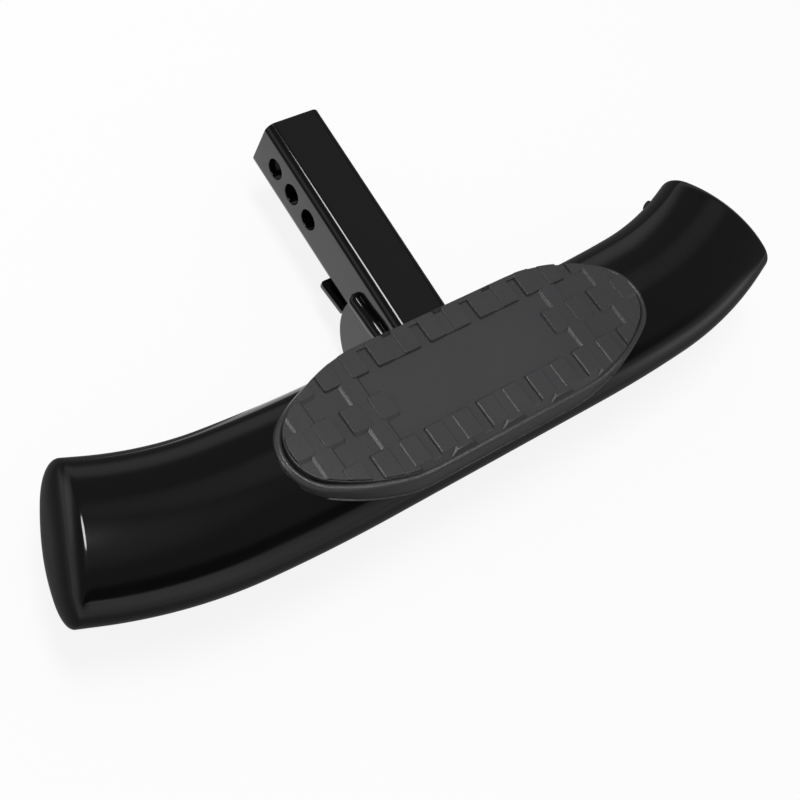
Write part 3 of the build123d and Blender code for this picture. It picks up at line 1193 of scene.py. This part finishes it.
    def bars(self) -> list[BMesh]:
        """The cross bars between every other pair of columns, and the rail at the back.

        Returns:
            Their meshes, in the pad's frame.
        """
        top_w, flank, high = self.bar
        level = -self.block[2]
        tall = high + self.bar_sink
        fence = self.fence() + [self.nose_plane(self.bar_nose, level + high)]
        front, back = -self.bar_reach, self.bar_reach
        runs = []
        for n in range(-self.outer_bar, self.outer_bar + 1):
            x = 2 * n * self.pitch
            whole = abs(n) > self.panel_bar
            spans = [(front, back)] if whole else [(front, -self.panel), (self.panel, back)]
            runs += [(x - top_w / 2, x + top_w / 2, low, up) for low, up in spans]
        rail_v, rail_x = self.rail
        runs.append((-rail_x, rail_x, rail_v, rail_v + self.block[0]))
        made = []
        for left, right, low, up in runs:
            bm = bmesh.new()
            bmesh.ops.create_cube(bm, size=1.0)
            spot = Vector(((left + right) / 2, (low + up) / 2, level + high - tall / 2))
            size = Matrix.Diagonal((right - left, up - low, tall, 1))
            bmesh.ops.transform(bm, matrix=Matrix.Translation(spot) @ size, verts=bm.verts[:])
            for vert in bm.verts:
                if vert.co.z < level:
                    vert.co.x += math.copysign(flank * tall / high, vert.co.x - spot.x)
            self.clip(bm, fence)
            face_out(bm)
            soften(bm, top_edges(bm, 25, 0.9), self.bar_edge, 2)
            shade(bm, 35)
            made.append(bm)
        return made

    def build(self, finish: Material) -> Object:
        """Builds the whole pad as one piece.

        Args:
            finish: The tread plastic.

        Returns:
            The piece.
        """
        bm = joined([self.body(), self.rim(), *self.bars(), *self.blocks()])
        bmesh.ops.transform(bm, matrix=self.frame(), verts=bm.verts[:])
        return piece("pad_skin", bm, finish, ["step_pad"])


@dataclass
class VentPlugs:
    """The two rubber plugs on the vehicle side of the tube.

    The profile goes from the head's middle outwards, in shares of the head's radius and height.
    """

    tube: StepTube
    arc: float = 14.9
    drop: float = 15.0
    head_r: float = 5.0 * MM
    head_h: float = 2.6 * MM
    profile: tuple[tuple[float, float], ...] = (
        (0.45, 1.0), (0.72, 0.88), (0.9, 0.62), (1.0, 0.3),
        (1.0, 0.0), (0.92, -0.1), (0.78, -0.3), (0.78, -0.9),
    )
    round_steps: int = 32

    def seat(self) -> Matrix:
        """The frame of the right plug: on the tube's skin, z outwards.

        Returns:
            The frame.
        """
        tube = self.tube
        spot, turned = tube.spot_after((tube.first_bend, (tube.second_bend[0], self.arc)))
        out, drop = tube.inward(turned), math.radians(self.drop)
        lean = out * math.cos(drop) - UP * math.sin(drop)
        at = spot + out * (tube.width / 2 - tube.end_r) + lean * tube.end_r
        return Matrix.Translation(at) @ lean.to_track_quat("Z", "Y").to_matrix().to_4x4()

    def build(self, finish: Material) -> Object:
        """Builds both plugs by spinning their half profile.

        Args:
            finish: The rubber.

        Returns:
            The piece.
        """
        bm = bmesh.new()
        chain = bmesh.ops.create_vert(bm, co=(0, 0, self.head_h))["vert"]
        for r, z in self.profile:
            start = chain[0].co.copy()
            chain = bmesh.ops.extrude_vert_indiv(bm, verts=chain)["verts"]
            by = Vector((r * self.head_r, 0, z * self.head_h)) - start
            bmesh.ops.translate(bm, vec=by, verts=chain)
        bmesh.ops.spin(
            bm, geom=bm.verts[:] + bm.edges[:], cent=(0, 0, 0), axis=UP, dvec=(0, 0, 0),
            angle=math.tau, steps=self.round_steps, use_merge=True, use_duplicate=False,
        )
        bmesh.ops.remove_doubles(bm, verts=bm.verts[:], dist=NEAR)
        bmesh.ops.edgeloop_fill(bm, edges=[e for e in bm.edges if e.is_boundary])
        bmesh.ops.transform(bm, matrix=self.seat(), verts=bm.verts[:])
        mirror_all(bm, "X")
        face_out(bm)
        shade(bm, 45)
        return piece("vent_plug_skins", bm, finish, ["vent_plugs"], flats=False)


# Studio


@dataclass(frozen=True)
class FloorShine:
    """What reflections see on the floor, painted as a glow: a painted pool of light beside the shank,
    painted paler light to the front and left, and a dim painted glow elsewhere.
    """

    light_pool_at: tuple[float, float] = (-0.062, -0.03)
    light_pool_across: Ramp = Ramp(0.04, 0.07, 0.92, 0.0)
    light_pool_along: Ramp = Ramp(0.15, 0.22, 1.0, 0.0)
    front: Ramp = Ramp(-0.27, -0.8, 0.0, 0.25)
    left: Ramp = Ramp(-0.4, -1.0, 0.0, 0.16)
    base: float = 0.14

    def strength(self, sheet: NodeSheet) -> NodeSocket:
        """Draws the shine.

        Args:
            sheet: The floor material's nodes.

        Returns:
            Its strength.
        """
        place = sheet.node("ShaderNodeTexCoord").outputs["Object"]
        x, y, _ = sheet.node("ShaderNodeSeparateXYZ", {0: place}).outputs
        across, along = (
            sheet.math("ABSOLUTE", sheet.math("SUBTRACT", value, at))
            for value, at in zip((x, y), self.light_pool_at)
        )
        # The painted pool of light beside the shank.
        inside = sheet.step(along, self.light_pool_along)
        light_pool = sheet.math("MULTIPLY", sheet.step(across, self.light_pool_across), inside)
        return sheet.chain("ADD", light_pool, sheet.step(y, self.front), sheet.step(x, self.left), self.base)


@dataclass(frozen=True)
class Room:
    """What reflections see round the object: a dim ceiling, pale walls and a panel.

    The front wall is measured across and up as shares of the distance ahead. The gap is a dark strip
    of ceiling above it.
    """

    nearest: float = 0.02
    front_tone: Ramp = Ramp(0.1, 0.6, 0.52, 0.34)
    front_right_tone: Ramp = Ramp(0.7, 1.0, 0.0, 0.42)
    front_fade: Ramp = Ramp(0.05, 0.2)
    front_top: Ramp = Ramp(0.84, 0.88, 1.0, 0.0)
    front_right_top: Ramp = Ramp(0.2, 1.0, 1.0, 0.0)
    top_change: Ramp = Ramp(0.45, 0.85)
    front_left_end: Ramp = Ramp(-0.45, -0.15)
    front_right_end: Ramp = Ramp(1.75, 2.3, 1.0, 0.0)
    front_foot: Ramp = Ramp(-0.35, 0.4, 0.35, 1.0)
    gap_ahead: Ramp = Ramp(0.4, 0.6, 0.0, 0.9)
    gap_low: Ramp = Ramp(0.8, 0.86)
    gap_high: Ramp = Ramp(1.15, 1.45, 1.0, 0.0)
    ceiling: Ramp = Ramp(0.9, 0.99, 0.125, 0.27)
    left_start: Ramp = Ramp(-0.15, -0.5)
    left_tone: Ramp = Ramp(0.2, 0.6, 0.46, 0.0)
    rear_start: Ramp = Ramp(0.35, 0.65)
    rear_level: float = 0.3
    rear_tone: Ramp = Ramp(0.04, 0.17, 0.33, 0.0)
    panel_way: tuple[float, float, float] = (0.52, 0.31, 0.8)
    panel_tone: Ramp = Ramp(0.965, 0.99, 0.0, 0.14)

    def front(self, sheet: NodeSheet, ahead: NodeSocket, across: NodeSocket, rise: NodeSocket) -> NodeSocket:
        """Draws the front wall.

        Args:
            sheet: The world's nodes.
            ahead: How far a direction goes to the front.
            across: How far across the wall it meets.
            rise: How far up the wall it meets.

        Returns:
            The wall's strength.
        """
        right = sheet.step(across, self.front_right_tone)
        tone = sheet.math("ADD", sheet.step(across, self.front_tone), right)
        tops = {2: sheet.step(rise, self.front_top), 3: sheet.step(rise, self.front_right_top)}
        top = sheet.node("ShaderNodeMix", {0: sheet.step(across, self.top_change), **tops}).outputs[0]
        return sheet.chain(
            "MULTIPLY", tone, sheet.step(ahead, self.front_fade), top,
            sheet.step(across, self.front_left_end), sheet.step(across, self.front_right_end),
            sheet.step(rise, self.front_foot),
        )

    def strength(self, sheet: NodeSheet) -> NodeSocket:
        """Draws the whole room.

        Args:
            sheet: The world's nodes.

        Returns:
            The room's strength in each direction.
        """
        way = sheet.node("ShaderNodeTexCoord").outputs["Generated"]
        x, y, z = sheet.node("ShaderNodeSeparateXYZ", {0: way}).outputs
        ahead = sheet.math("MAXIMUM", sheet.math("MULTIPLY", y, -1.0), self.nearest)
        across, rise = (sheet.math("DIVIDE", value, ahead) for value in (x, z))
        gap = sheet.chain(
            "MULTIPLY", sheet.step(ahead, self.gap_ahead),
            sheet.step(rise, self.gap_low), sheet.step(rise, self.gap_high),
        )
        ceiling = sheet.math("MULTIPLY", sheet.step(z, self.ceiling), sheet.math("SUBTRACT", 1.0, gap))
        left = sheet.math("MULTIPLY", sheet.step(x, self.left_start), sheet.step(z, self.left_tone))
        band = sheet.math("ABSOLUTE", sheet.math("SUBTRACT", z, self.rear_level))
        rear = sheet.math("MULTIPLY", sheet.step(y, self.rear_start), sheet.step(band, self.rear_tone))
        aim = sheet.node("ShaderNodeVectorMath", {0: way, 1: self.panel_way}, operation="DOT_PRODUCT")
        panel = sheet.step(aim.outputs["Value"], self.panel_tone)
        return sheet.chain("ADD", self.front(sheet, ahead, across, rise), ceiling, left, rear, panel)


@dataclass(frozen=True)
class Lamp:
    """A soft oval lamp, hung at an offset from what it faces."""

    name: str
    aim: tuple[float, float, float]
    offset: tuple[float, float, float]
    size: tuple[float, float]
    power: float

    def hang(self) -> Object:
        """Hangs the lamp, with its length along the world's Y.

        Returns:
            The lamp.
        """
        light = bpy.data.lights.new(self.name, "AREA")
        light.shape = "ELLIPSE"
        light.size, light.size_y = self.size
        light.energy = self.power
        made = bpy.data.objects.new(self.name, light)
        back = Vector(self.offset).normalized()
        across = Vector((0, 1, 0)).cross(back).normalized()
        turned = Matrix((across, back.cross(across), back)).transposed()
        made.matrix_world = Matrix.Translation(Vector(self.aim) + Vector(self.offset)) @ turned.to_4x4()
        bpy.context.scene.collection.objects.link(made)
        return made


PAD_MIDDLE = (0.0, -0.2, 0.04)


@dataclass
class Studio:
    """White floor, soft light from above and the camera.

    The accents light the pad alone. The camera's angles are turns about Z, X and Z again.
    """

    floor_z: float = -65.6 * MM
    floor_half: float = 6.0
    floor_paint: tuple[float, float, float, float] = (0.93, 0.93, 0.93, 1.0)
    floor_white: float = 0.86
    shine: FloorShine = FloorShine()
    room: Room = Room()
    fill: float = 0.45
    overhead: Lamp = Lamp("overhead", (0.0, -0.1, 0.0), (-0.25, 0.35, 2.15), (0.6, 1.2), 28.0)
    accents: tuple[Lamp, ...] = (
        Lamp("left_accent", PAD_MIDDLE, (-1.2404, 0.336, 0.546), (0.55, 0.35), 3.5),
        Lamp("front_accent", PAD_MIDDLE, (0.462, -0.532, 1.204), (1.0, 0.16), 3.5),
        Lamp("corner_accent", PAD_MIDDLE, (-0.196, -0.56, 1.274), (0.25, 0.25), 1.0),
        Lamp("top_accent", PAD_MIDDLE, (0.658, 0.5404, 1.1116), (0.7, 0.7), 0.3),
    )
    lens: float = 59.903
    sensor: float = 36.0
    camera_place: tuple[float, float, float] = (-0.540967, -0.374609, 0.855417)
    camera_angles: tuple[float, float, float] = (-69.41858, 31.86165, 39.62649)
    camera_range: tuple[float, float] = (0.01, 50.0)

    def floor_material(self) -> Material:
        """Paints the floor pale, near white for the camera, and with the shine, a painted glow of light, for
        reflections.

        Returns:
            The material.
        """
        made = bpy.data.materials.new("pale_floor")
        made.use_nodes = True
        made.node_tree.nodes.clear()
        sheet = NodeSheet(made.node_tree)
        rays = sheet.node("ShaderNodeLightPath").outputs
        paint = sheet.node("ShaderNodeBsdfDiffuse", {"Color": self.floor_paint}).outputs[0]
        white = sheet.white("ShaderNodeEmission", 1.0)
        glow = sheet.white("ShaderNodeEmission", self.shine.strength(sheet))
        share = sheet.math("MULTIPLY", rays["Is Camera Ray"], self.floor_white)
        seen = sheet.blend(share, paint, white)
        # Reflections see the painted glow on the floor instead of its lit paint.
        surface = sheet.blend(rays["Is Glossy Ray"], seen, glow)
        sheet.node("ShaderNodeOutputMaterial", {"Surface": surface})
        return made

    def floor(self) -> None:
        """Lays the floor."""
        bm = bmesh.new()
        bmesh.ops.create_grid(bm, x_segments=1, y_segments=1, size=self.floor_half)
        bmesh.ops.translate(bm, vec=(0, 0, self.floor_z), verts=bm.verts[:])
        mesh = bpy.data.meshes.new("floor")
        bm.to_mesh(mesh)
        bm.free()
        mesh.materials.append(self.floor_material())
        floor = bpy.data.objects.new("floor", mesh)
        bpy.context.scene.collection.objects.link(floor)

    def world(self) -> None:
        """Sets white for the camera, an even fill, and the room for reflections."""
        world = bpy.data.worlds.new("studio")
        bpy.context.scene.world = world
        world.use_nodes = True
        world.node_tree.nodes.clear()
        sheet = NodeSheet(world.node_tree)
        rays = sheet.node("ShaderNodeLightPath").outputs
        fill = sheet.white("ShaderNodeBackground", self.fill)
        room = sheet.white("ShaderNodeBackground", self.room.strength(sheet))
        white = sheet.white("ShaderNodeBackground", 1.0)
        glossy = sheet.blend(rays["Is Glossy Ray"], fill, room)
        sheet.node("ShaderNodeOutputWorld", {"Surface": sheet.blend(rays["Is Camera Ray"], glossy, white)})

    def lamps(self, pad: Object) -> None:
        """Hangs one lamp above everything, and the accents for the pad's highlights.

        Args:
            pad: The pad, which alone takes the accents' light.
        """
        self.overhead.hang()
        only = bpy.data.collections.new("pad_only")
        only.objects.link(pad)
        for lamp in self.accents:
            lamp.hang().light_linking.receiver_collection = only

    def camera(self) -> None:
        """Sets the camera at the fitted place."""
        data = bpy.data.cameras.new("camera")
        data.sensor_width, data.lens = self.sensor, self.lens
        data.clip_start, data.clip_end = self.camera_range
        made = bpy.data.objects.new("camera", data)
        turned = Matrix.Identity(4)
        for degrees, axis in zip(self.camera_angles, "ZXZ"):
            turned = turned @ Matrix.Rotation(math.radians(degrees), 4, axis)
        made.matrix_world = Matrix.Translation(self.camera_place) @ turned
        bpy.context.scene.collection.objects.link(made)
        bpy.context.scene.camera = made

    def build(self, pad: Object) -> None:
        """Sets the whole studio.

        Args:
            pad: The pad, for the lamps that light it alone.
        """
        bpy.context.scene.view_settings.view_transform = "Standard"
        self.floor()
        self.world()
        self.lamps(pad)
        self.camera()


def main() -> None:
    """Builds the step and sets the studio, logging each piece's face count."""
    logging.basicConfig(level=logging.INFO, format="%(name)s %(message)s")
    coat, tread, rubber = (finish.material() for finish in (POWDER_COAT, TREAD_PLASTIC, PLUG_RUBBER))
    tube, gussets = StepTube(), Gussets()
    tube.build(coat)
    Shank().build(coat)
    for side in Side:
        gussets.build(side, coat)
    Tab().build(coat)
    Welds(gussets).build(coat)
    pad = TreadPad(tube).build(tread)
    VentPlugs(tube).build(rubber)
    Studio().build(pad)


if __name__ == "__main__":
    main()
